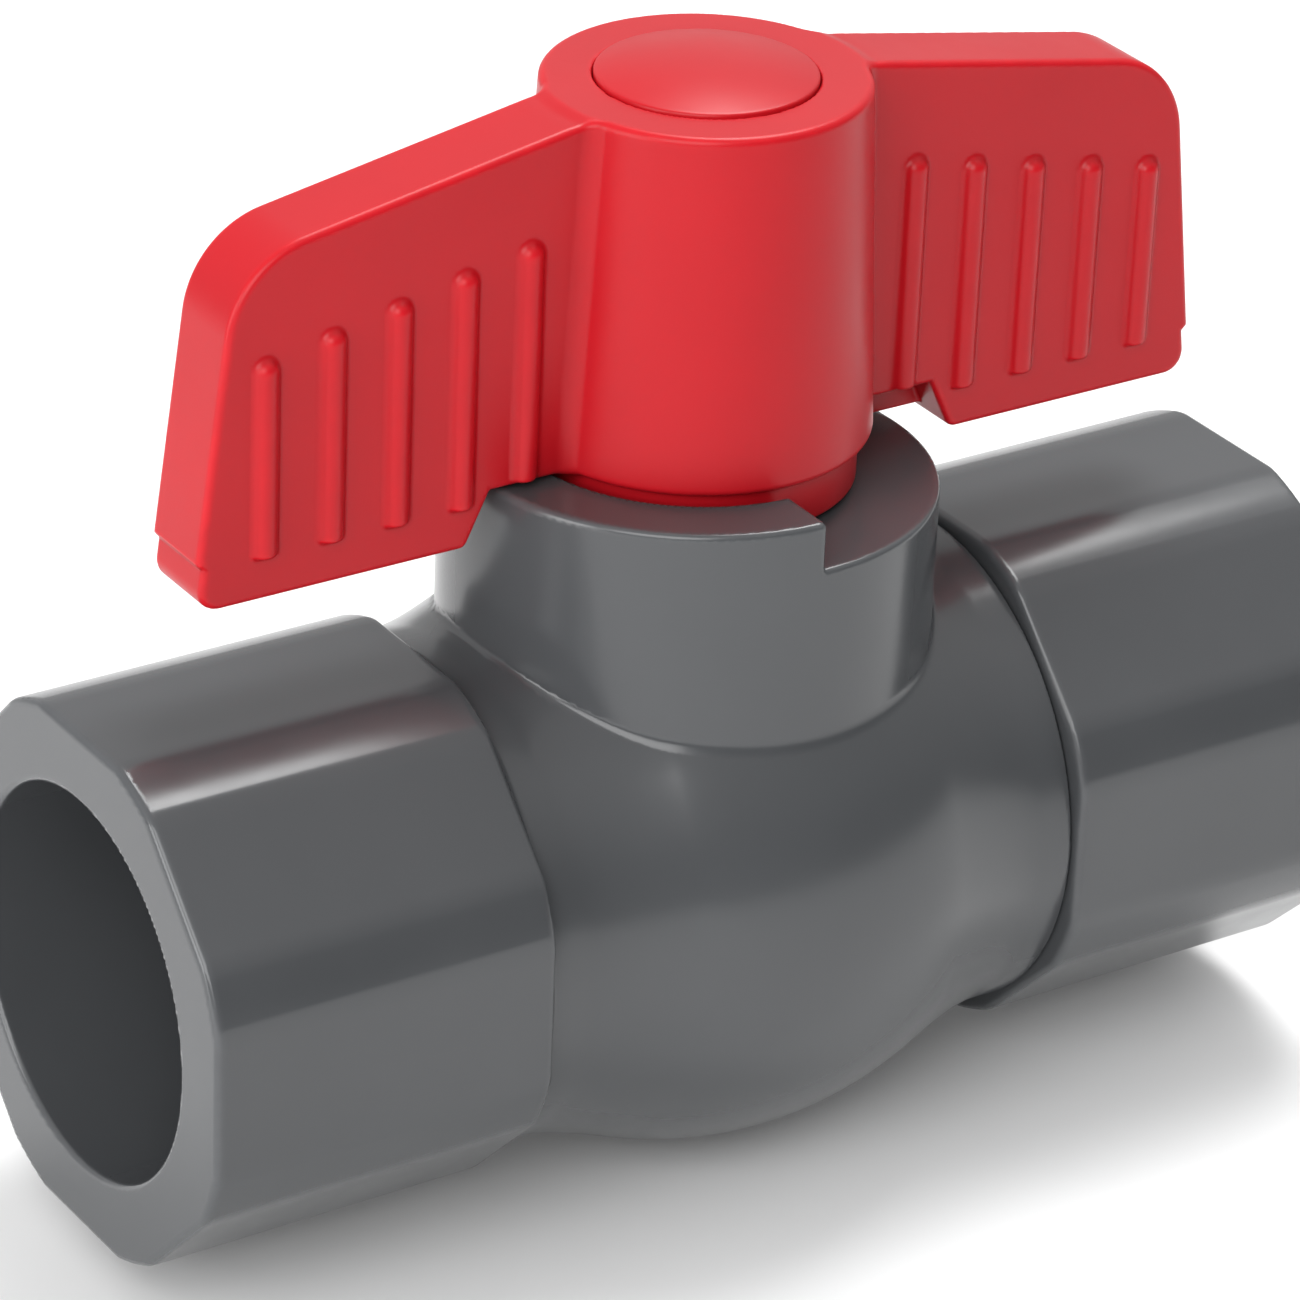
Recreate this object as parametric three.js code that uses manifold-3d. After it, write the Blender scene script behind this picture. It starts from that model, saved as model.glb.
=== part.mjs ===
// Compact two-way ball valve in rigid plastic with a butterfly handle, for 25 mm solvent-cement pipe.
// Millimetres, +Z up. The pipe runs along X and the stem stands on Z. Every solid is drawn about the
// point where the pipe axis crosses the stem axis, and the whole group is then lifted so that the
// belly of the body rests on z = 0. The handle is drawn in the open position, in line with the pipe.

import * as THREE from 'three';
import { mergeVertices } from 'three/addons/utils/BufferGeometryUtils.js';
import Module from 'manifold-3d';

const manifold = await Module();
manifold.setup();

// Clearance kept between pieces that touch on the real valve.
const GAP = 0.3;

// Sockets for the pipe: bore, depth, and a round outside with eight flats and a narrow edge bevel.
const END_X = 43.2;
const SOCKET_DEPTH = 19.2;
const SOCKET_MOUTH_R = 12.65;
const SOCKET_ROOT_R = 12.5;
const OCTAGON_HALF = 17.2;
const SOCKET_R = 17.86;
const MOUTH_BEVEL = 0.5;
const SHOULDER_X = 19.6;

// Body between the sockets: round waist, swollen belly around the ball, and the collar on top.
const WAIST_R = 16.6;
const BELLY_R = 20.4;
const BELLY_CURVE_R = 26.3;
const COLLAR_R = 15.7;
const COLLAR_INNER_R = 11.4;
const COLLAR_FLOOR_Z = 24.8;
const COLLAR_TOP_Z = 28.0;

// Ball, its chamber and its flow bore.
const BALL_R = 14.4;
const BALL_BORE_R = 9.4;
const FLOW_R = 9.6;
const CHAMBER_R = 14.8;
const CHAMBER_END_X = 9.0;
const SLOT_WIDTH = 5.0;
const SLOT_FLOOR_Z = 10.4;

// Seat rings and the O-rings that push them onto the ball.
const SEAT_OUTER_R = 12.9;
const SEAT_LIP_X = 9.3;
const SEAT_BACK_X = 13.9;
const POCKET_R = 13.2;
const POCKET_X = 14.2;
const CUSHION_GROOVE_X = 16.3;
const CUSHION_GROOVE_INNER_R = 10.6;
const CUSHION_GROOVE_OUTER_R = 12.8;
const CUSHION_X = 15.2;
const CUSHION_R = 11.7;
const CUSHION_TUBE_R = 0.75;

// Spigot of the welded-in end connector and the O-ring round it.
const SPIGOT_R = 14.5;
const SPIGOT_X = 9.3;
const BODY_RING_X = 17.9;
const BODY_RING_R = 13.85;
const BODY_RING_TUBE_R = 0.65;
const BODY_RING_GROOVE_R = 12.9;

// Stem: tang in the ball, flange under the body wall, sealed shaft, square drive with a screw hole.
const STEM_R = 4.9;
const STEM_BORE_R = 5.3;
const TANG_WIDTH = 4.4;
const TANG_LENGTH = 9.0;
const TANG_BOTTOM_Z = 10.8;
const FLANGE_R = 6.4;
const FLANGE_BOTTOM_Z = 14.95;
const FLANGE_TOP_Z = 16.4;
const COUNTERBORE_R = 6.8;
const COUNTERBORE_TOP_Z = 17.6;
const THRUST_WASHER_THICKNESS = 0.6;
const STEM_RING_ZS = [19.3, 22.5];
const STEM_RING_R = 4.4;
const STEM_RING_TUBE_R = 0.6;
const STEM_GROOVE_R = 3.5;
const STEM_GROOVE_WIDTH = 1.8;
const SQUARE_SIDE = 7.0;
const SQUARE_BOTTOM_Z = 25.5;
const SQUARE_TOP_Z = 40.0;

// Handle hub, with the screw pocket and the cap seat in its top.
const HUB_BOTTOM_Z = 28.3;
const HUB_TOP_Z = 51.4;
const HUB_BOTTOM_R = 11.3;
const HUB_TOP_R = 10.2;
const HUB_EDGE_R = 0.5;
const HUB_WEB_TOP_Z = 42.5;
const SKIRT_R = 10.4;
const SKIRT_BOTTOM_Z = 25.1;
const SCREW_POCKET_R = 6.0;
const CAP_SEAT_Z = 48.9;
const CAP_SEAT_R = 7.25;

// Handle wings: outline in the XZ plane, upright ribs on both faces, and the stop foot.
const WING_ROOT_X = 9.6;
const WING_THICKNESS = 5.7;
const WING_TOP_SLOPE = -0.18;
const WING_CORNER_X = 34.15;
const WING_CORNER_Z = 46.95;
const WING_CORNER_R = 6.5;
const WING_TIP_X = 36.6;
const WING_TIP_STEP = 0.4;
const WING_TIP_STEP_Z = 28.0;
const WING_BOTTOM_Z = 24.8;
const WING_BOTTOM_CORNER_R = 1.6;
const WING_NOTCH_X = 18.0;
const WING_NOTCH_RUN = 1.7;
const WING_NOTCH_Z = 28.3;
const RIB_COUNT = 5;
const RIB_HEIGHT = 0.7;
const RIB_FIRST_X = 14.0;
const RIB_PITCH = 4.53;
const RIB_WIDTH = 1.7;
const RIB_BOTTOM_Z = 27.7;
const RIB_TOP_Z = 44.3;
const RIB_TOP_SLOPE = -0.204;
const FOOT_INNER_X = 10.5;
const FOOT_OUTER_X = 17.8;
const FOOT_BOTTOM_Z = 25.5;

// Handle screw, its washer and the snap-in cap.
const SCREW_SHANK_R = 1.75;
const SCREW_HEAD_R = 3.7;
const SCREW_HEAD_HEIGHT = 2.5;
const SCREW_LENGTH = 12.5;
const SCREW_RECESS_WIDTH = 0.9;
const WASHER_R = 4.7;
const WASHER_THICKNESS = 0.8;
const CAP_R = 6.9;
const CAP_EDGE_Z = 51.6;
const CAP_TOP_Z = 52.5;

const AROUND = 40;
const SOCKET_AROUND = 48;
const RING_AROUND = 24;
const TUBE_SIDES = 6;

const plastic = (color) => new THREE.MeshStandardMaterial({ color, roughness: 0.35, metalness: 0 });
const greyPlastic = plastic(0x5f6265);
const redPlastic = plastic(0xd62a33);
const ballPlastic = plastic(0xe4e4e0);
const seatPlastic = plastic(0xf3f2ea);
const rubber = new THREE.MeshStandardMaterial({ color: 0x161616, roughness: 0.8, metalness: 0 });
const steel = new THREE.MeshStandardMaterial({ color: 0xb9bcc0, roughness: 0.3, metalness: 1 });

// Turns a closed three.js geometry into a solid, with its faces pointing out.
function toSolid(geometry) {
  geometry.deleteAttribute('normal');
  geometry.deleteAttribute('uv');
  const merged = mergeVertices(geometry, 1e-4);
  const vertices = merged.attributes.position.array;
  const index = merged.index.array;
  const triangles = [];
  for (let i = 0; i < index.length; i += 3) {
    const [a, b, c] = [index[i], index[i + 1], index[i + 2]];
    if (a !== b && b !== c && c !== a) triangles.push(a, b, c);
  }
  const corner = (i) => new THREE.Vector3().fromArray(vertices, triangles[i] * 3);
  let volume = 0;
  for (let i = 0; i < triangles.length; i += 3) {
    volume += corner(i).dot(corner(i + 1).cross(corner(i + 2)));
  }
  if (volume < 0) triangles.reverse();
  const vertProperties = new Float32Array(vertices);
  const triVerts = new Uint32Array(triangles);
  return new manifold.Manifold(new manifold.Mesh({ numProp: 3, vertProperties, triVerts }));
}

// Wraps a finished solid as a named, flat-shaded mesh.
function toMesh(name, solid, material) {
  const { vertProperties, triVerts } = solid.getMesh();
  const geometry = new THREE.BufferGeometry();
  geometry.setAttribute('position', new THREE.BufferAttribute(new Float32Array(vertProperties), 3));
  geometry.setIndex(new THREE.BufferAttribute(new Uint32Array(triVerts), 1));
  geometry.computeVertexNormals();
  const mesh = new THREE.Mesh(geometry, material);
  mesh.name = name;
  return mesh;
}

// Profile points are [radius, height] pairs and the outline closes on itself.
function latheGeometry(profile, segments) {
  const points = [...profile, profile[0]].map(([radius, height]) => new THREE.Vector2(radius, height));
  return new THREE.LatheGeometry(points, segments);
}

const revolveOnZ = (profile, segments = AROUND) =>
  toSolid(latheGeometry(profile, segments).rotateX(Math.PI / 2));

const revolveOnX = (profile, segments = AROUND) =>
  toSolid(latheGeometry(profile, segments).rotateZ(-Math.PI / 2));

const mirrorX = (profile) => profile.map(([radius, x]) => [radius, -x]);

// Round bar or hole from the axis out to one radius.
const disc = (radius, low, high) => [[0, low], [radius, low], [radius, high], [0, high]];

function box(xRange, yRange, zRange) {
  const [size, centre] = [new THREE.Vector3(), new THREE.Vector3()];
  const low = new THREE.Vector3(xRange[0], yRange[0], zRange[0]);
  const high = new THREE.Vector3(xRange[1], yRange[1], zRange[1]);
  const bounds = new THREE.Box3(low, high);
  bounds.getSize(size);
  bounds.getCenter(centre);
  const geometry = new THREE.BoxGeometry(size.x, size.y, size.z);
  return toSolid(geometry.translate(centre.x, centre.y, centre.z));
}

// Points on an arc of a circle, given as angle limits in degrees.
function arcPoints(centreA, centreB, radius, startDegrees, endDegrees, steps) {
  return Array.from({ length: steps + 1 }, (_, i) => {
    const angle = THREE.MathUtils.degToRad(startDegrees + ((endDegrees - startDegrees) * i) / steps);
    return [centreA + radius * Math.cos(angle), centreB + radius * Math.sin(angle)];
  });
}

// O-ring profile: a small circle carried round an axis.
const ringProfile = (ringRadius, height, tubeRadius) =>
  arcPoints(ringRadius, height, tubeRadius, 0, 360 - 360 / TUBE_SIDES, TUBE_SIDES - 1);

// Socket blank on the +X side, with a bevel round its mouth.
const socketBar = (radius, bevel, segments) =>
  revolveOnX(
    [
      [0, SHOULDER_X],
      [radius, SHOULDER_X],
      [radius, END_X - bevel],
      [radius - bevel, END_X],
      [0, END_X],
    ],
    segments,
  );

// Outside of the socket on the +X side: a round bar with eight flats, bevelled along both.
function socketOutside() {
  const corner = 1 / Math.cos(Math.PI / 8);
  const eightSided = socketBar(OCTAGON_HALF * corner, MOUTH_BEVEL * corner, 8).rotate([22.5, 0, 0]);
  return socketBar(SOCKET_R, MOUTH_BEVEL, SOCKET_AROUND).intersect(eightSided);
}

// Profile of the hollow in a socket on the +X side: pipe bore, flow bore, seat pocket and groove.
function socketHollow() {
  const pipeStopX = END_X - SOCKET_DEPTH;
  const outsideX = END_X + 1;
  return [
    [0, SPIGOT_X - 1],
    [POCKET_R, SPIGOT_X - 1],
    [POCKET_R, POCKET_X],
    [CUSHION_GROOVE_OUTER_R, POCKET_X],
    [CUSHION_GROOVE_OUTER_R, CUSHION_GROOVE_X],
    [CUSHION_GROOVE_INNER_R, CUSHION_GROOVE_X],
    [CUSHION_GROOVE_INNER_R, POCKET_X],
    [FLOW_R, POCKET_X],
    [FLOW_R, pipeStopX],
    [SOCKET_ROOT_R, pipeStopX],
    [SOCKET_MOUTH_R, END_X],
    [SOCKET_MOUTH_R, outsideX],
    [0, outsideX],
  ];
}

// Waist and belly as one turned shape about the pipe axis.
function bellyOutside() {
  const curveCentreR = BELLY_R - BELLY_CURVE_R;
  const reach = THREE.MathUtils.radToDeg(Math.acos((WAIST_R - curveCentreR) / BELLY_CURVE_R));
  return revolveOnX([
    [0, -SHOULDER_X - 1],
    [WAIST_R, -SHOULDER_X - 1],
    ...arcPoints(curveCentreR, 0, BELLY_CURVE_R, -reach, reach, 10),
    [WAIST_R, SHOULDER_X - GAP],
    [0, SHOULDER_X - GAP],
  ]);
}

// Collar, raised all round except over one quarter, whose two ends stop the handle's foot.
function collar() {
  const reach = COLLAR_R + 1;
  const top = COLLAR_TOP_Z + 1;
  const footBackY = WING_THICKNESS / 2;
  const ring = revolveOnZ(disc(COLLAR_R, 0, COLLAR_TOP_Z));
  const well = revolveOnZ(disc(COLLAR_INNER_R, COLLAR_FLOOR_Z, top));
  const lowQuarter = box([-GAP, reach], [-reach, footBackY + GAP], [COLLAR_FLOOR_Z, top]);
  return ring.subtract(well).subtract(lowQuarter);
}

function mainBody() {
  const leftSocket = socketOutside().rotate([0, 0, 180]);
  const chamber = revolveOnX(disc(CHAMBER_R, -CHAMBER_END_X, SHOULDER_X + 1));
  const leftHollow = revolveOnX(mirrorX(socketHollow()));
  const stemBore = revolveOnZ(disc(STEM_BORE_R, 0, COLLAR_FLOOR_Z + 1));
  const counterbore = revolveOnZ(disc(COUNTERBORE_R, 0, COUNTERBORE_TOP_Z));
  return bellyOutside()
    .add(leftSocket)
    .add(collar())
    .subtract(chamber)
    .subtract(leftHollow)
    .subtract(stemBore)
    .subtract(counterbore);
}

function endConnector() {
  const spigot = revolveOnX(disc(SPIGOT_R, SPIGOT_X, SHOULDER_X + 1));
  const grooveHalf = BODY_RING_TUBE_R + GAP;
  const groove = revolveOnX([
    [BODY_RING_GROOVE_R, BODY_RING_X - grooveHalf],
    [SPIGOT_R + 1, BODY_RING_X - grooveHalf],
    [SPIGOT_R + 1, BODY_RING_X + grooveHalf],
    [BODY_RING_GROOVE_R, BODY_RING_X + grooveHalf],
  ]);
  return socketOutside()
    .add(spigot)
    .subtract(groove)
    .subtract(revolveOnX(socketHollow()));
}

function ball() {
  const sphere = revolveOnZ(arcPoints(0, 0, BALL_R, -90, 90, 16), 32);
  const bore = revolveOnX(disc(BALL_BORE_R, -BALL_R, BALL_R), 32);
  const slotHalf = SLOT_WIDTH / 2;
  const slot = box([-slotHalf, slotHalf], [-BALL_R, BALL_R], [SLOT_FLOOR_Z, BALL_R + 1]);
  return sphere.subtract(bore).subtract(slot);
}

// Seat ring with a cupped face that follows the ball.
function seatRingProfile() {
  const cupR = BALL_R + GAP;
  const innerR = FLOW_R + 0.1;
  const startAngle = THREE.MathUtils.radToDeg(Math.acos(innerR / cupR));
  const endAngle = THREE.MathUtils.radToDeg(Math.asin(SEAT_LIP_X / cupR));
  return [
    [innerR, SEAT_BACK_X],
    ...arcPoints(0, 0, cupR, startAngle, endAngle, 3),
    [SEAT_OUTER_R, SEAT_LIP_X],
    [SEAT_OUTER_R, SEAT_BACK_X],
  ];
}

function stem() {
  const grooveProfiles = STEM_RING_ZS.map((z) => [
    [STEM_GROOVE_R, z - STEM_GROOVE_WIDTH / 2],
    [STEM_R + 1, z - STEM_GROOVE_WIDTH / 2],
    [STEM_R + 1, z + STEM_GROOVE_WIDTH / 2],
    [STEM_GROOVE_R, z + STEM_GROOVE_WIDTH / 2],
  ]);
  const half = SQUARE_SIDE / 2;
  const tangX = TANG_WIDTH / 2;
  const tangY = TANG_LENGTH / 2;
  let solid = revolveOnZ(disc(FLANGE_R, FLANGE_BOTTOM_Z, FLANGE_TOP_Z), RING_AROUND)
    .add(revolveOnZ(disc(STEM_R, FLANGE_BOTTOM_Z, SQUARE_BOTTOM_Z), RING_AROUND))
    .add(box([-half, half], [-half, half], [SQUARE_BOTTOM_Z - 1, SQUARE_TOP_Z]))
    .add(box([-tangX, tangX], [-tangY, tangY], [TANG_BOTTOM_Z, FLANGE_BOTTOM_Z + 0.5]));
  for (const profile of grooveProfiles) solid = solid.subtract(revolveOnZ(profile, RING_AROUND));
  const screwTip = HUB_WEB_TOP_Z - SCREW_LENGTH;
  const screwHole = disc(SCREW_SHANK_R + GAP + 0.05, screwTip, SQUARE_TOP_Z + 1);
  return solid.subtract(revolveOnZ(screwHole, RING_AROUND));
}

// Straight edges of a wing on the +X side: the height of its top and the reach of its tip.
const wingTopZ = (x) => WING_CORNER_Z + (x - WING_CORNER_X) * WING_TOP_SLOPE;
const wingTipSlope = (WING_TIP_X - WING_CORNER_X) / (WING_CORNER_Z - WING_TIP_STEP_Z);
const wingTipX = (z) => WING_CORNER_X + (WING_CORNER_Z - z) * wingTipSlope;
const wingFootX = wingTipX(WING_BOTTOM_Z) - WING_TIP_STEP;

// Top edge from the hub and the round corner at the tip.
function wingTopEdge() {
  const topAngle = 90 + THREE.MathUtils.radToDeg(Math.atan(WING_TOP_SLOPE));
  const tipAngle = THREE.MathUtils.radToDeg(Math.atan(wingTipSlope));
  const halfTurn = THREE.MathUtils.degToRad((topAngle - tipAngle) / 2);
  const middle = THREE.MathUtils.degToRad((topAngle + tipAngle) / 2);
  const reach = WING_CORNER_R / Math.cos(halfTurn);
  const centreX = WING_CORNER_X - reach * Math.cos(middle);
  const centreZ = WING_CORNER_Z - reach * Math.sin(middle);
  return [
    [WING_ROOT_X, wingTopZ(WING_ROOT_X)],
    ...arcPoints(centreX, centreZ, WING_CORNER_R, topAngle, tipAngle, 8),
  ];
}

// Outline of a wing, with the small step low on its tip and the notch that clears the collar.
function wingShape() {
  const stepX = wingTipX(WING_TIP_STEP_Z);
  const roundX = wingFootX - WING_BOTTOM_CORNER_R;
  const roundZ = WING_BOTTOM_Z + WING_BOTTOM_CORNER_R;
  const outline = [
    ...wingTopEdge(),
    [stepX, WING_TIP_STEP_Z],
    [stepX - WING_TIP_STEP, WING_TIP_STEP_Z - WING_TIP_STEP],
    ...arcPoints(roundX, roundZ, WING_BOTTOM_CORNER_R, 0, -90, 4),
    [WING_NOTCH_X, WING_BOTTOM_Z],
    [WING_NOTCH_X - WING_NOTCH_RUN, WING_NOTCH_Z],
    [WING_ROOT_X, WING_NOTCH_Z],
  ];
  return new THREE.Shape(outline.map(([x, z]) => new THREE.Vector2(x, z)));
}

// Upright plate: a shape drawn in the XZ plane, given thickness along Y.
function plate(shape, fromY, toY) {
  const geometry = new THREE.ExtrudeGeometry(shape, {
    depth: toY - fromY,
    bevelEnabled: false,
    curveSegments: 4,
  });
  const axes = new THREE.Matrix4().makeBasis(
    new THREE.Vector3(1, 0, 0),
    new THREE.Vector3(0, 0, 1),
    new THREE.Vector3(0, -1, 0),
  );
  return toSolid(geometry.applyMatrix4(axes).translate(0, toY, 0));
}

// The rib above the notch stops short of it, so that it passes over the raised collar.
function ribShape(x) {
  const half = RIB_WIDTH / 2;
  const topZ = RIB_TOP_Z + (x - RIB_FIRST_X) * RIB_TOP_SLOPE - half;
  const overNotch = x < WING_NOTCH_X - RIB_WIDTH;
  const bottomZ = overNotch ? WING_NOTCH_Z + GAP : RIB_BOTTOM_Z;
  const shape = new THREE.Shape();
  shape.moveTo(x - half, bottomZ);
  shape.lineTo(x + half, bottomZ);
  shape.absarc(x, topZ, half, 0, Math.PI);
  shape.closePath();
  return shape;
}

// Flat plate with ribs standing on both faces.
function wing() {
  const face = WING_THICKNESS / 2;
  const crest = face + RIB_HEIGHT;
  let solid = plate(wingShape(), -face, face);
  for (let i = 0; i < RIB_COUNT; i += 1) {
    solid = solid.add(plate(ribShape(RIB_FIRST_X + i * RIB_PITCH), -crest, crest));
  }
  return solid;
}

// Foot in the back half of the +X wing's notch, which travels along the low quarter of the collar.
const stopFoot = () =>
  box([FOOT_INNER_X, FOOT_OUTER_X], [0, WING_THICKNESS / 2], [FOOT_BOTTOM_Z, WING_NOTCH_Z + 2]);

function handle() {
  const hub = revolveOnZ([
    [0, HUB_BOTTOM_Z],
    [HUB_BOTTOM_R, HUB_BOTTOM_Z],
    ...arcPoints(HUB_TOP_R - HUB_EDGE_R, HUB_TOP_Z - HUB_EDGE_R, HUB_EDGE_R, 0, 90, 3),
    [0, HUB_TOP_Z],
  ]);
  const skirt = revolveOnZ(disc(SKIRT_R, SKIRT_BOTTOM_Z, HUB_BOTTOM_Z + 1));
  const skirtHollow = revolveOnZ(disc(STEM_BORE_R, SKIRT_BOTTOM_Z - 1, SQUARE_BOTTOM_Z + GAP));
  const half = SQUARE_SIDE / 2 + GAP + 0.05;
  const drive = box([-half, half], [-half, half], [SKIRT_BOTTOM_Z - 1, SQUARE_TOP_Z + GAP]);
  const screwHole = revolveOnZ(disc(SCREW_SHANK_R + 0.6, SQUARE_TOP_Z - 1, HUB_TOP_Z), RING_AROUND);
  const screwPocket = revolveOnZ(disc(SCREW_POCKET_R, HUB_WEB_TOP_Z, HUB_TOP_Z + 1));
  const capSeat = revolveOnZ(disc(CAP_SEAT_R, CAP_SEAT_Z, HUB_TOP_Z + 1));
  return hub
    .add(skirt)
    .add(wing())
    .add(wing().rotate([0, 0, 180]))
    .add(stopFoot())
    .subtract(skirtHollow)
    .subtract(drive)
    .subtract(screwHole)
    .subtract(screwPocket)
    .subtract(capSeat);
}

function handleScrew() {
  const headBottom = HUB_WEB_TOP_Z + GAP + WASHER_THICKNESS + GAP;
  const headTop = headBottom + SCREW_HEAD_HEIGHT;
  const shankBottom = HUB_WEB_TOP_Z - SCREW_LENGTH + GAP;
  const half = SCREW_RECESS_WIDTH / 2;
  const arm = SCREW_HEAD_R * 0.6;
  const recess = [headTop - 1.4, headTop + 1];
  return revolveOnZ(disc(SCREW_SHANK_R, shankBottom, headBottom + 0.5), RING_AROUND)
    .add(revolveOnZ(disc(SCREW_HEAD_R, headBottom, headTop), RING_AROUND))
    .subtract(box([-arm, arm], [-half, half], recess))
    .subtract(box([-half, half], [-arm, arm], recess));
}

const flatWasher = (innerR, outerR, low, high) =>
  revolveOnZ([[innerR, low], [outerR, low], [outerR, high], [innerR, high]], RING_AROUND);

// Snap-in cap: a plain disc with a shallow dome.
function handleCap() {
  const rise = CAP_TOP_Z - CAP_EDGE_Z;
  const domeR = (CAP_R * CAP_R + rise * rise) / (2 * rise);
  const edgeAngle = THREE.MathUtils.radToDeg(Math.acos(CAP_R / domeR));
  return revolveOnZ([
    [0, CAP_SEAT_Z + GAP],
    [CAP_R, CAP_SEAT_Z + GAP],
    ...arcPoints(0, CAP_TOP_Z - domeR, domeR, edgeAngle, 90, 4),
  ]);
}

const washerZ = HUB_WEB_TOP_Z + GAP;
const thrustZ = COUNTERBORE_TOP_Z - GAP - THRUST_WASHER_THICKNESS;
const cushionProfile = ringProfile(CUSHION_R, CUSHION_X, CUSHION_TUBE_R);
const bodyRingProfile = ringProfile(BODY_RING_R, BODY_RING_X, BODY_RING_TUBE_R);
const stemRing = (z) => revolveOnZ(ringProfile(STEM_RING_R, z, STEM_RING_TUBE_R), RING_AROUND);
const thrustWasher = flatWasher(STEM_BORE_R, FLANGE_R, thrustZ, thrustZ + THRUST_WASHER_THICKNESS);
const screwWasher = flatWasher(SCREW_SHANK_R + 0.4, WASHER_R, washerZ, washerZ + WASHER_THICKNESS);

const valve = new THREE.Group();
valve.add(
  toMesh('main_body', mainBody(), greyPlastic),
  toMesh('end_connector', endConnector(), greyPlastic),
  toMesh('ball', ball(), ballPlastic),
  toMesh('seat_ring_left', revolveOnX(mirrorX(seatRingProfile()), RING_AROUND), seatPlastic),
  toMesh('seat_ring_right', revolveOnX(seatRingProfile(), RING_AROUND), seatPlastic),
  toMesh('seat_oring_left', revolveOnX(mirrorX(cushionProfile), RING_AROUND), rubber),
  toMesh('seat_oring_right', revolveOnX(cushionProfile, RING_AROUND), rubber),
  toMesh('body_oring', revolveOnX(bodyRingProfile, RING_AROUND), rubber),
  toMesh('stem', stem(), ballPlastic),
  toMesh('stem_thrust_washer', thrustWasher, seatPlastic),
  toMesh('stem_oring_lower', stemRing(STEM_RING_ZS[0]), rubber),
  toMesh('stem_oring_upper', stemRing(STEM_RING_ZS[1]), rubber),
  toMesh('handle', handle(), redPlastic),
  toMesh('handle_screw', handleScrew(), steel),
  toMesh('screw_washer', screwWasher, steel),
  toMesh('handle_cap', handleCap(), redPlastic),
);
valve.position.z = BELLY_R;

export default valve;
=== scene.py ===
"""Looks of a compact plastic ball valve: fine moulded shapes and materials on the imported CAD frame.

The moulded pieces are drawn as distance fields, in millimetres about the point where the pipe axis
crosses the stem axis. A field is negative inside the plastic, and edges and inside corners are
rounded where two fields are joined or cut. surface_of turns a field into a closed mesh.
"""

import math

import bmesh
import bpy
import numpy as np
from mathutils import Matrix, Vector


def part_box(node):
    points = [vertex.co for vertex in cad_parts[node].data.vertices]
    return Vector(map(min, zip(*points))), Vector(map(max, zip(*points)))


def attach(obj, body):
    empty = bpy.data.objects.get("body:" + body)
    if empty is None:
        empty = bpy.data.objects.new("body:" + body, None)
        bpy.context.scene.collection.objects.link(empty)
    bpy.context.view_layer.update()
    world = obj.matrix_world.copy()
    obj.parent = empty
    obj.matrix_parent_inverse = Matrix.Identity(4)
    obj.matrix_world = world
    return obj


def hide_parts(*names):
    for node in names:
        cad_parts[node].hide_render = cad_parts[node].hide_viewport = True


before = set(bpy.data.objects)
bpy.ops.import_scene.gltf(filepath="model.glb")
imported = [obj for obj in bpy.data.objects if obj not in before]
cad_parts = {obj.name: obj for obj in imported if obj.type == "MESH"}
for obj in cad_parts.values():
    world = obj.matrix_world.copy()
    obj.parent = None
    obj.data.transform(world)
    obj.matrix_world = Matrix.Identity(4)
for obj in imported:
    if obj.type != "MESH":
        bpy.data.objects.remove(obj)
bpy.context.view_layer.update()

MM = 0.001


def box_mm(node):
    """Low and high corners of a CAD node in millimetres, measured from the pipe axis."""
    low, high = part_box(node)
    lift = np.array([0.0, 0.0, AXIS_Z])
    return np.array(low) / MM - lift, np.array(high) / MM - lift


# Sizes that the frame gives.
connector_low, connector_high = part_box("end_connector")
AXIS_Z = (connector_low[2] + connector_high[2]) / 2 / MM
END_X = connector_high[0] / MM
OCTAGON_HALF = (connector_high[2] - connector_low[2]) / 2 / MM
BELLY_R = AXIS_Z
COLLAR_TOP_Z = box_mm("main_body")[1][2]
HUB_TOP_Z = box_mm("handle")[1][2]
WING_BOTTOM_Z = box_mm("handle")[0][2]
WING_TIP_X = box_mm("handle")[1][0]
BALL_R = box_mm("ball")[1][1]
SEAT_OUTER_R = box_mm("seat_ring_right")[1][1]
SEAT_LIP_X, SEAT_BACK_X = box_mm("seat_ring_right")[0][0], box_mm("seat_ring_right")[1][0]
STEM_BOTTOM_Z, STEM_TOP_Z = box_mm("stem")[0][2], box_mm("stem")[1][2]
FLANGE_R = box_mm("stem")[1][0]
CAP_R = box_mm("handle_cap")[1][0]
CAP_BOTTOM_Z, CAP_TOP_Z = box_mm("handle_cap")[0][2], box_mm("handle_cap")[1][2]
SCREW_TIP_Z, SCREW_TOP_Z = box_mm("handle_screw")[0][2], box_mm("handle_screw")[1][2]
SCREW_HEAD_R = box_mm("handle_screw")[1][0]

# Sockets.
GAP = 0.3
SOCKET_DEPTH = 19.2
SOCKET_MOUTH_R = 12.65
SOCKET_ROOT_R = 12.5
SOCKET_R = 17.86
MOUTH_EDGE_R = 0.5
OCTAGON_EDGE_R = 0.2
SHOULDER_X = 19.6
# Gap between body and connector in the looks. The CAD leaves 0.3 there, which would look too wide.
SEAM = 0.04

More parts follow.
